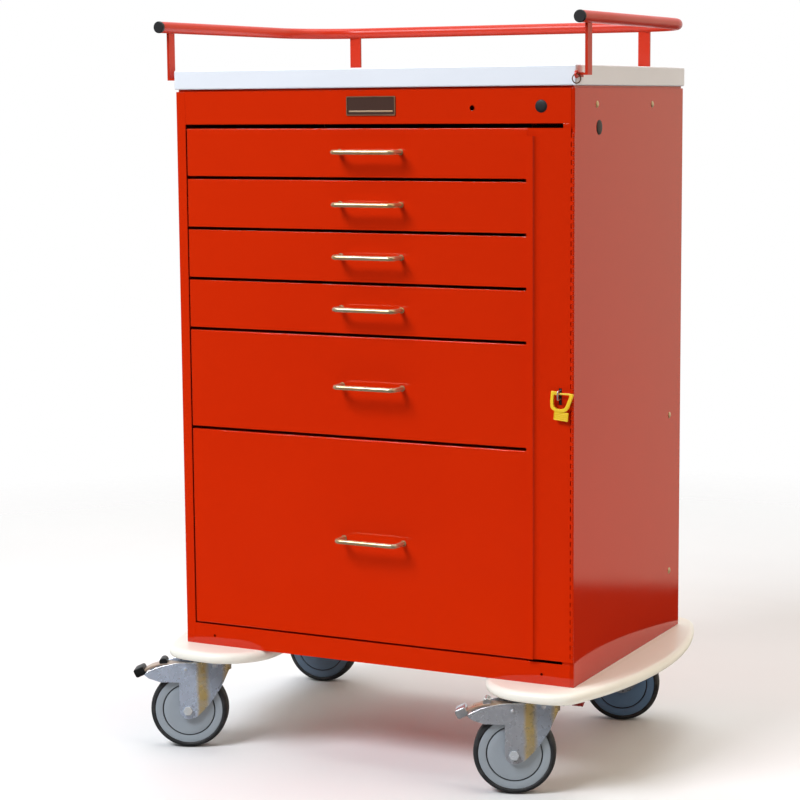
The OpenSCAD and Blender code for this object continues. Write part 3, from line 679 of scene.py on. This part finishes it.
# ---------------------------------------------------------------- nameplate
def nameplate():
    """Plain plate: a raised border, a sunk field and a narrow strip along its foot."""
    lo, hi = box_of("nameplate")
    cx, cz = (lo.x + hi.x) / 2, (lo.z + hi.z) / 2
    w, h = hi.x - lo.x, hi.z - lo.z
    rim = 0.0018

    outer = round_rect(cx, cz, w, h, r=0.002, n=5)
    inner = round_rect(cx, cz, w - 2 * rim, h - 2 * rim, r=0.0014, n=5)
    crest = [((x - cx) * 0.994 + cx, (z - cz) * 0.985 + cz) for x, z in outer]
    bm = bmesh.new()
    loops = []
    for pts, y in ((outer, hi.y), (outer, lo.y + 0.0003), (crest, lo.y), (inner, lo.y), (inner, hi.y)):
        loops.append([bm.verts.new((x, y, z)) for x, z in pts])
    for a, b in zip(loops, loops[1:] + loops[:1]):
        strip_faces(bm, a, b)
    border = from_bmesh("nameplate_border", bm, PLATE_EDGE, smooth=30)
    register(border, "cabinet", "nameplate")

    outline = round_rect(cx, cz, w - 0.003, h - 0.003, r=0.002, n=5)
    field = prism("nameplate_field", outline, hi.y, lo.y + 0.0008, PLATE)
    register(field, "cabinet")

    outline = round_rect(cx, cz - 0.0078, w - 0.0085, h=0.0022, r=0.0006, n=4)
    strip = prism("nameplate_strip", outline, hi.y, lo.y + 0.0004, TAN, bevel=0.0003, segments=2)
    register(strip, "cabinet")


nameplate()


# ---------------------------------------------------------------- seal
SEAL_TILT = math.radians(6)
seal_x, seal_y, seal_z = Vector(joints["seal_swing"]["pos_m"]) + Vector((0.0, 0.0, 0.0002))

# Outline of the ring in mm, (x, z) from the staple's loop: the inner edge from the gap round to the
# right end, then the outer edge back. The rod closes the gap at the top.
SEAL_RING = [
    (-10.6, 2.5), (-2.4, 2.5), (-1.9, 2.0), (-1.9, -1.6), (-2.3, -2.0), (-6.2, -2.0), (-6.7, -2.6),
    (-6.5, -10), (-5.9, -15.6), (-4.6, -18.9), (-1, -21.1), (4.5, -21.6), (9, -20.3), (11.6, -18.2),
    (13.2, -15.8), (17.2, -2), (17.2, 2.1), (17.6, 2.5), (21.9, 2.5), (22.4, 2.0), (21.9, -2),
    (17.5, -18.5), (15.2, -22.2), (11.5, -24.5), (5, -25.8), (-2, -25.3), (-6.2, -23.8),
    (-8.8, -21.5), (-10.0, -17.5), (-10.8, -12), (-11, 2.0),
]
# The tag below the ring: its middle, its width, and (x, z, width, height) of its raised edges
TAG_X, TAG_Z, TAG_W = 0.00725, -0.0312, 0.0213
TAG_EDGES = (
    (TAG_X, -0.0368, TAG_W, 0.0012),
    (-0.0028, TAG_Z, 0.0012, 0.0122),
    (0.0173, TAG_Z, 0.0012, 0.0122),
)
RIB_TOP, RIB_STEP = -0.0285, 0.0026
# Places along X, in mm, of the rod that passes through the staple and of the collar beside it
ROD_X = (-4.8, 0, 4, 8, 12, 18.8)
COLLAR_X = (-1.85, -1.0)


def seal_piece(name, outline, half, bevel):
    """Flat piece of the seal, with this half thickness, tilted sideways about the staple's loop."""
    o = prism(name, outline, -half, half, YELLOW, bevel)
    c, s = math.cos(SEAL_TILT), math.sin(SEAL_TILT)
    for v in o.data.vertices:
        x, y, z = v.co
        v.co = Vector((seal_x + x * c + z * s, seal_y + y, seal_z - x * s + z * c))
    return o


def seal_rod(name, stations, radius):
    """Round length of the bar that passes through the staple, level along X."""
    path = [(seal_x + x / MM, seal_y, seal_z - 0.0002) for x in stations]
    register(sweep(name, path, radius, YELLOW, sides=16), "seal")


def seal():
    """Ring, rod with its collar, and the ribbed tag of the breakaway seal."""
    outline = [(x / MM, z / MM) for x, z in SEAL_RING]
    ring = seal_piece("seal_ring", outline, half=0.0019, bevel=0.0007)
    register(ring, "seal", "breakaway_seal")
    seal_rod("seal_rod", ROD_X, radius=0.0013)
    seal_rod("seal_collar", COLLAR_X, radius=0.0018)
    outline = round_rect(TAG_X, TAG_Z, TAG_W, h=0.0124, r=0.0016)
    tag = seal_piece("seal_tag", outline, half=0.0008, bevel=0.0003)
    register(tag, "seal")
    for i, (x, z, w, h) in enumerate(TAG_EDGES):
        outline = round_rect(x, z, w, h, r=0.0005)
        edge = seal_piece(f"seal_tag_edge_{i + 1}", outline, half=0.0013, bevel=0.0003)
        register(edge, "seal")
    for i in range(3):
        outline = round_rect(TAG_X, RIB_TOP - i * RIB_STEP, w=0.0158, h=0.0010, r=0.0004)
        rib = seal_piece(f"seal_rib_{i + 1}", outline, half=0.0011, bevel=0.0002)
        register(rib, "seal")


def staple():
    """Black sheets behind and round the slot of the lock bar, as painted shade of the slot's depth, with
    the wire loop standing in front of them.
    """
    base, middle = seal_y + 0.009, seal_z - 0.0050
    # A black sheet behind the slot: painted shade in place of the slot's depth
    outline = round_rect(seal_x, middle, w=0.0046, h=0.0236, r=0.0012, n=5)
    slot_shade = prism("staple_insert", outline, base - 0.0020, base - 0.0006, BLACK, bevel=0.0003, segments=2)
    register(slot_shade, "lock_bar")
    # A black rim round the slot: more painted shade of the slot
    outline = round_rect(seal_x, middle, w=0.0090, h=0.0280, r=0.0020, n=5)
    slot_shade_rim = prism("staple_flange", outline, base - 0.00088, base - 0.00047, BLACK)
    register(slot_shade_rim, "lock_bar")
    low, high, bend = seal_z - 0.0070, seal_z + 0.0016, 0.0020
    foot, out = base - 0.0012, base - 0.0104
    quarter = [k * math.pi / 16 for k in range(9)]
    path = [(foot, low - bend)]
    path += [(out - bend * math.sin(a), low - bend * math.cos(a)) for a in quarter]
    path += [(out - bend * math.cos(a), high + bend * math.sin(a)) for a in quarter]
    path += [(foot, high + bend)]
    wire = sweep("staple_wire", [(seal_x, y, z) for y, z in path], 0.0010, SILVER, sides=20)
    register(wire, "lock_bar", "lock_staple")


seal()
staple()


# ---------------------------------------------------------------- wheels
# The rear wheel discs take the shaded copies of the grey: painted shade
DISC = {"fl": GREY, "fr": GREY, "rl": SHADED_DARK_GREY, "rr": SHADED_BLUE_GREY}
TREAD_HALF = 0.0148
TREAD_DEPTH = 0.0070
DISC_HALF = 0.0140


def mirrored(profile):
    """The same profile on the other side of the wheel's middle, in reverse order."""
    return [(r, -h) for r, h in reversed(profile)]


def tread(c, centre, axis, r):
    """Tread with rounded shoulders, seated round the disc's rim."""
    w, rim = TREAD_HALF, r - TREAD_DEPTH
    edge = [(rim - 0.0004, 0.0012 - w), (rim + 0.0008, 0.0003 - w), (rim + 0.0016, -w)]
    edge += [(rim + 0.0036, 0.0006 - w)]
    for i in range(1, 8):
        a = i / 8 * math.pi / 2
        edge.append((rim + 0.0036 + 0.0034 * math.sin(a), 0.0006 - w + 0.0078 * (1 - math.cos(a))))
    edge += [(r, 0.0090 - w), (r, -0.0040)]
    seat = [(rim - 0.0010, w - 0.003), (rim - 0.0010, 0.003 - w)]
    profile = edge + [(r, 0.0)] + mirrored(edge) + seat
    o = lathe(f"tread_{c}", profile, centre, axis, TREAD, WHEEL_TURN, closed=True)
    register(o, f"wheel_{c}", f"tyre_{c}")


def disc(c, centre, axis, r):
    """Grey wheel body with a hub ring, and a groove near the rim that holds a thin dark line."""
    h, rim = DISC_HALF, r - TREAD_DEPTH
    face = [(0.0051, -h - 0.0008), (0.0100, -h - 0.0008), (0.0110, -h - 0.0004), (0.0114, -h)]
    face += [(0.0200, 0.0003 - h), (0.0300, 0.0003 - h), (0.0386, -h)]
    face += [(0.0391, 0.0002 - h), (0.0393, 0.0016 - h), (0.0411, 0.0016 - h), (0.0413, 0.0002 - h)]
    face += [(0.0419, -h), (rim - 0.0030, -h), (rim - 0.0012, 0.0002 - h), (rim - 0.0005, 0.0010 - h)]
    profile = face + mirrored(face)
    o = lathe(f"wheel_disc_{c}", profile, centre, axis, DISC[c], WHEEL_TURN, closed=True)
    register(o, f"wheel_{c}", f"wheel_core_{c}")
    line = [(0.0394, h - 0.0015), (0.0396, h - 0.0009), (0.0408, h - 0.0009), (0.0410, h - 0.0015)]
    for tag, s in (("a", -1), ("b", 1)):
        turned = [(radius, s * z) for radius, z in line]
        o = lathe(f"wheel_line_{c}_{tag}", turned, centre, axis, TREAD, WHEEL_TURN, closed=True)
        register(o, f"wheel_{c}")


for c in CASTERS:
    spin = joints[f"wheel_spin_{c}"]
    centre, axis = Vector(spin["pos_m"]), Vector(spin["axis"]).normalized()
    lo, hi = box_of(f"tyre_{c}")
    tread(c, centre, axis, (hi.z - lo.z) / 2)
    disc(c, centre, axis, (hi.z - lo.z) / 2)


# ---------------------------------------------------------------- brake pedals
# Distance of a pedal's hinge from the swivel
HINGE_BACK = 0.045
# Upper edge of the lever in the caster's plane, (x, z) in metres, and the lower edge back
LEVER_TOP = ((-0.076, 0.1323), (-0.088, 0.1313), (-0.101, 0.1275), (-0.113, 0.1213))
LEVER_FOOT = ((-0.112, 0.1187), (-0.099, 0.1240), (-0.088, 0.1282), (-0.076, 0.1295))
# Half profiles, (radius, distance from the middle)
HUB = ((0.0027, 0.012), (0.0043, 0.012), (0.0048, 0.0115))
ROLLER = ((0.0, 0.0100), (0.0052, 0.0100), (0.0062, 0.0090))
TIP_TURN = 25


def pedal(c):
    """Lever, hub, roller and tip with its band, built in the caster's plane and turned into place."""
    hinge = joints[f"brake_pedal_{c}_hinge"]
    hinge_z = hinge["pos_m"][2]
    axis = -Vector(hinge["axis"]).normalized()
    lead = Vector((axis.y, -axis.x, 0.0))
    zero = Vector(hinge["pos_m"]) + lead * HINGE_BACK
    zero.z = 0.0
    trim = BLACK if c == "fl" else SILVER

    def turn_in(o, node=None):
        for v in o.data.vertices:
            v.co = zero + lead * v.co.x + axis * v.co.y + Vector((0, 0, v.co.z))
        register(o, f"pedal_{c}", node)

    outline = [(-HINGE_BACK, hinge_z + 0.0046), *LEVER_TOP, *LEVER_FOOT, (-HINGE_BACK, hinge_z + 0.0022)]
    lever = prism(f"pedal_lever_{c}", outline, -0.0117, 0.0117, COPPERY, bevel=0.0006, segments=2)
    turn_in(lever, f"brake_pedal_{c}")

    profile = [(r, -h) for r, h in HUB] + list(reversed(HUB))
    centre = (-HINGE_BACK, 0.0, hinge_z)
    hub = lathe(f"pedal_hub_{c}", profile, centre, (0, 1, 0), ZINC, SMALL_TURN, closed=True)
    turn_in(hub)

    profile = [(r, -h) for r, h in ROLLER] + list(reversed(ROLLER))
    roller = lathe(f"pedal_roller_{c}", profile, (-0.0816, 0.0, 0.1342), (0, 1, 0), trim, SMALL_TURN)
    turn_in(roller)

    outline = round_rect(-0.1184, 0.1185, w=0.0168, h=0.0138, r=0.0034, turn=TIP_TURN)
    tip = prism(f"pedal_tip_{c}", outline, -0.0129, 0.0129, trim, bevel=0.0014)
    turn_in(tip)

    outline = round_rect(-0.1190, 0.1188, w=0.0170, h=0.0056, r=0.0018, turn=TIP_TURN)
    band = prism(f"pedal_tip_band_{c}", outline, -0.0105, 0.0105, BLACK, bevel=0.0006, segments=2)
    turn_in(band)


for c in WITH_PEDAL:
    pedal(c)


# ---------------------------------------------------------------- fork details
# Rolled upper edge of a cheek, (x, z) in mm in the caster's plane
BEAD = (
    (-27.0, 136.2), (-40.0, 135.9), (-52.0, 135.4), (-61.0, 134.3), (-70.0, 132.7),
    (-80.5, 130.1), (-91.0, 127.0), (-99.5, 123.1), (-107.4, 118.8),
)
# Distance of that edge from the middle, and the places (x, y, z) of a stud and a pivot cap
BEAD_Y = 20.3
STUD = (0.0, 19.2, 132.2)
PIVOT = (-45.0, 21.9, 125.3)


def fork_details(c):
    """Rolled upper edges, staked studs and, with a pedal, pivot caps on both cheeks of a fork."""
    zero, lead, side = caster_frame(c)
    zero.z = 0.0
    body = f"caster_{c}"

    def at(x, y, z):
        return zero + lead * (x / MM) + side * (y / MM) + Vector((0, 0, z / MM))

    for tag, s in (("a", -1), ("b", 1)):
        path = [at(x, s * BEAD_Y, z) for x, z in BEAD]
        bead = sweep(f"fork_bead_{c}_{tag}", path, 0.0008, BRIGHT, sides=12)
        register(bead, body)
        out = lead * 0.175 + side * (s * 0.984)
        place = at(STUD[0], s * STUD[1], STUD[2])
        stud = dome(f"fork_stud_{c}_{tag}", place, out, r=0.0036, h=0.0013, material=BRIGHT, rim=0.0004)
        register(stud, body)
        if c in WITH_PEDAL:
            place = at(PIVOT[0], s * PIVOT[1], PIVOT[2])
            cap = dome(f"fork_pivot_{c}_{tag}", place, side * s, r=0.0024, h=0.0010,
                       material=BRIGHT, rim=0.0003)
            register(cap, body)


for c in CASTERS:
    fork_details(c)


# ---------------------------------------------------------------- floor
def floor_paint():
    """Pale matt floor that fades out towards its rim."""
    g = Graph("floor_paint")
    g.color(g.ramp(g.noise(1.5, 3.0, 0.5), [(0.3, (0.80, 0.80, 0.795)), (0.7, (0.84, 0.84, 0.835))]))
    g.rough(g.map(g.noise(8.0, 4.0, 0.6), 0.55, 0.70, 0.3, 0.7))
    g.set(Metallic=0.0)
    away = g.vector_math("LENGTH")
    fade = g.map(away.outputs["Value"], 0.0, 1.0, 1.1, 2.6)
    clear = g.t.nodes.new("ShaderNodeBsdfTransparent")
    mixer = g.t.nodes.new("ShaderNodeMixShader")
    g.link(fade, mixer.inputs[0])
    g.link(g.bsdf.outputs[0], mixer.inputs[1])
    g.link(clear.outputs[0], mixer.inputs[2])
    g.link(mixer.outputs[0], g.out.inputs[0])
    return g.mat


def stage_floor(radius=6.0, rings=24, spokes=96):
    """Round floor, finer in the middle."""
    bm = bmesh.new()
    centre = bm.verts.new((0, 0, 0))
    last = None
    for k in range(1, rings + 1):
        r = radius * (k / rings) ** 1.5
        turns = [2 * math.pi * i / spokes for i in range(spokes)]
        ring = [bm.verts.new((r * math.cos(a), r * math.sin(a), 0)) for a in turns]
        for i in range(spokes):
            j = (i + 1) % spokes
            if last is None:
                bm.faces.new((centre, ring[i], ring[j]))
            else:
                bm.faces.new((last[i], ring[i], ring[j], last[j]))
        last = ring
    o = from_bmesh("floor", bm, floor_paint(), None)
    o.location.z = -0.0004
    o.visible_glossy = False


stage_floor()


# ---------------------------------------------------------------- lights
def area(name, place, target, size, power, colour=(1, 1, 1)):
    """Rectangular area light at place, turned towards target, with a power in watts."""
    data = bpy.data.lights.new(name, "AREA")
    data.shape = "RECTANGLE"
    data.size, data.size_y = size
    data.energy = power
    data.color = colour
    o = link(name, data)
    o.location = place
    o.rotation_euler = (Vector(target) - Vector(place)).to_track_quat("-Z", "Y").to_euler()


area("key", (-1.6, -3.4, 3.9), (0.0, -0.2, 0.6), size=(2.4, 1.8), power=240, colour=(0.95, 0.985, 1.05))
area("fill", (3.4, -0.6, 3.0), (0.2, 0.0, 0.6), size=(2.0, 2.0), power=26, colour=(1.0, 0.90, 0.75))
area("top", (0.2, 0.4, 3.6), (0.0, 0.0, 0.9), size=(2.4, 2.4), power=56)

# Strengths of the surroundings: unlit, the foot of the pale wall and the wall high up
DIM, BRIGHT_LOW, BRIGHT_HIGH = 0.04, 0.74, 0.93
COOL_WHITE, WARM_WHITE = (0.96, 0.98, 1.0), (1.0, 0.81, 0.64)


def studio_world():
    """Plain white background that lights the scene as a studio does.

    What the object sees is dim below the horizon and behind the camera, steps up to a pale wall just
    above the horizon, and is warmer on the right.
    """
    world = bpy.data.worlds.new("studio")
    scene.world = world
    world.use_nodes = True
    tree = world.node_tree
    tree.nodes.clear()
    new, join = tree.nodes.new, tree.links.new

    def ranged(sock, lo, hi, a=0.0, b=1.0):
        m = new("ShaderNodeMapRange")
        values = {"From Min": lo, "From Max": hi, "To Min": a, "To Max": b}
        for key, value in values.items():
            m.inputs[key].default_value = value
        join(sock, m.inputs["Value"])
        return m.outputs[0]

    def ramped(sock, stops):
        r = new("ShaderNodeValToRGB")
        elements = r.color_ramp.elements
        for position, colour in stops[1:-1]:
            elements.new(position).color = (*colour, 1.0)
        elements[0].color = (*stops[0][1], 1.0)
        elements[-1].color = (*stops[-1][1], 1.0)
        join(sock, r.inputs["Fac"])
        return r.outputs["Color"]

    parts = new("ShaderNodeSeparateXYZ")
    join(new("ShaderNodeTexCoord").outputs["Generated"], parts.inputs[0])
    levels = ((0.0, DIM), (0.1120, DIM), (0.1290, BRIGHT_LOW), (0.8333, BRIGHT_HIGH), (1.0, BRIGHT_HIGH))
    height = ramped(ranged(parts.outputs["Z"], -0.25, 0.05), [(p, (v, v, v)) for p, v in levels])
    strength = new("ShaderNodeMath")
    strength.operation = "MULTIPLY"
    join(height, strength.inputs[0])
    join(ranged(parts.outputs["Y"], -0.35, 0.25, DIM, 1.0), strength.inputs[1])
    tint = ramped(ranged(parts.outputs["X"], 0.02, 0.30), [(0.0, COOL_WHITE), (1.0, WARM_WHITE)])

    lighting = new("ShaderNodeBackground")
    join(strength.outputs[0], lighting.inputs["Strength"])
    join(tint, lighting.inputs["Color"])
    seen = new("ShaderNodeBackground")
    seen.inputs["Color"].default_value = (1.0, 1.0, 1.0, 1.0)
    seen.inputs["Strength"].default_value = 1.0
    mixer = new("ShaderNodeMixShader")
    join(new("ShaderNodeLightPath").outputs["Is Camera Ray"], mixer.inputs[0])
    join(lighting.outputs[0], mixer.inputs[1])
    join(seen.outputs[0], mixer.inputs[2])
    join(mixer.outputs[0], new("ShaderNodeOutputWorld").inputs[0])


studio_world()


# ---------------------------------------------------------------- camera
CAMERA_FROM_CABINET = (1.83103, -2.85170, 0.03162)
LENS_MM = 99.606105
YAW, PITCH, ROLL = 0.472, 0.133, -0.008


def camera():
    """Camera placed from the cabinet's left front edge at the top of the opening; angles in radians."""
    data = bpy.data.cameras.new("camera")
    data.sensor_width = 36.0
    data.lens = LENS_MM
    data.clip_start, data.clip_end = 0.1, 60.0
    o = link("camera", data)
    ahead = Vector((-math.sin(YAW) * math.cos(PITCH), math.cos(YAW) * math.cos(PITCH), -math.sin(PITCH)))
    level = Vector((math.cos(YAW), math.sin(YAW), 0.0))
    above = level.cross(ahead)
    right = level * math.cos(ROLL) + above * math.sin(ROLL)
    up = -level * math.sin(ROLL) + above * math.cos(ROLL)
    turn = Matrix((right, up, -ahead)).transposed().to_4x4()
    x, y, z = CAMERA_FROM_CABINET
    o.matrix_world = Matrix.Translation((CAB_LO.x + x, CAB_LO.y + y, OPENING_Z + z)) @ turn
    scene.camera = o


camera()
